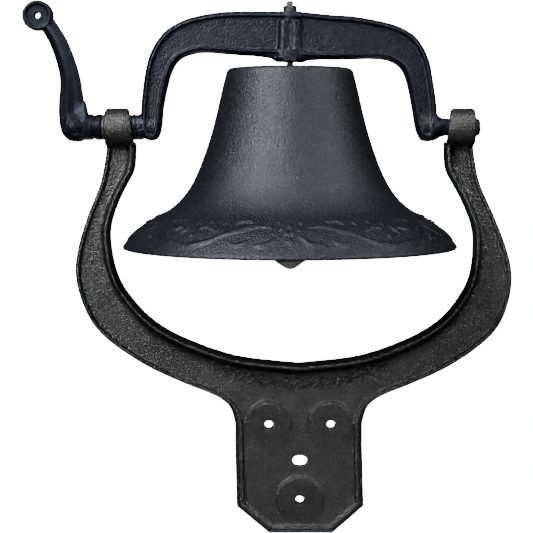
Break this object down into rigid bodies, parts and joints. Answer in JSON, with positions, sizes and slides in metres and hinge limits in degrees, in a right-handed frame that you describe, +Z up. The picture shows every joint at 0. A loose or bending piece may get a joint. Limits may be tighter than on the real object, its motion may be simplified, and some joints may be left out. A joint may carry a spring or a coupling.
{
  "type": "yard dinner bell",
  "caption": "Cast-iron yard dinner bell on a swinging yoke in a U-shaped post-mount cradle, with a pull lever and a hanging clapper.",
  "frame": {"origin": "on the cradle's back face, in the bell's middle plane, level with the two upper post screw holes (the holes' own middle is 9 mm to the right)", "axes": "+X along the trunnion axis to the right as seen from the front, +Y into the post, +Z up; the front faces -Y"},
  "size_m": [0.449, 0.3048, 0.49],
  "materials": {
    "cradle_iron": "sand-cast iron under satin black paint, neutral in tone",
    "bell_iron": "sand-cast iron under satin black paint, slightly blue in tone",
    "steel": "blackened steel, satin",
    "pin_steel": "steel pin painted over with the lever"
  },
  "bodies": {
    "cradle": {"cradle": "cradle_iron"},
    "swing": {"yoke": "bell_iron", "trunnion_shaft": "steel", "yoke_pin": "steel", "shaft_washers": "steel", "pull_lever": "bell_iron", "lever_pin": "pin_steel", "eyebolt": "steel", "yoke_nut": "steel", "bell_washer": "steel", "bell_nut": "steel"},
    "bell": {"bell": "bell_iron"},
    "hook": {"clapper_hook": "steel"},
    "clapper": {"clapper_rod": "steel", "clapper_ball": "bell_iron"}
  },
  "joints": [
    {"name": "bell_swing", "type": "hinge", "parent": "cradle", "child": "swing", "pos_m": [0, -0.0175, 0.2735], "axis": [1, 0, 0], "range_deg": [-90, 90]},
    {"name": "bell_turn", "type": "hinge", "parent": "swing", "child": "bell", "pos_m": [0, -0.0175, 0.2735], "axis": [0, 0, 1], "continuous": true},
    {"name": "hook_swing", "type": "hinge", "parent": "swing", "child": "hook", "pos_m": [0, -0.0175, 0.29497], "axis": [1, 0, 0], "range_deg": [-34, 34]},
    {"name": "clapper_sway", "type": "hinge", "parent": "hook", "child": "clapper", "pos_m": [0, -0.0175, 0.26698], "axis": [0, 1, 0], "range_deg": [-12, 12]}
  ]
}
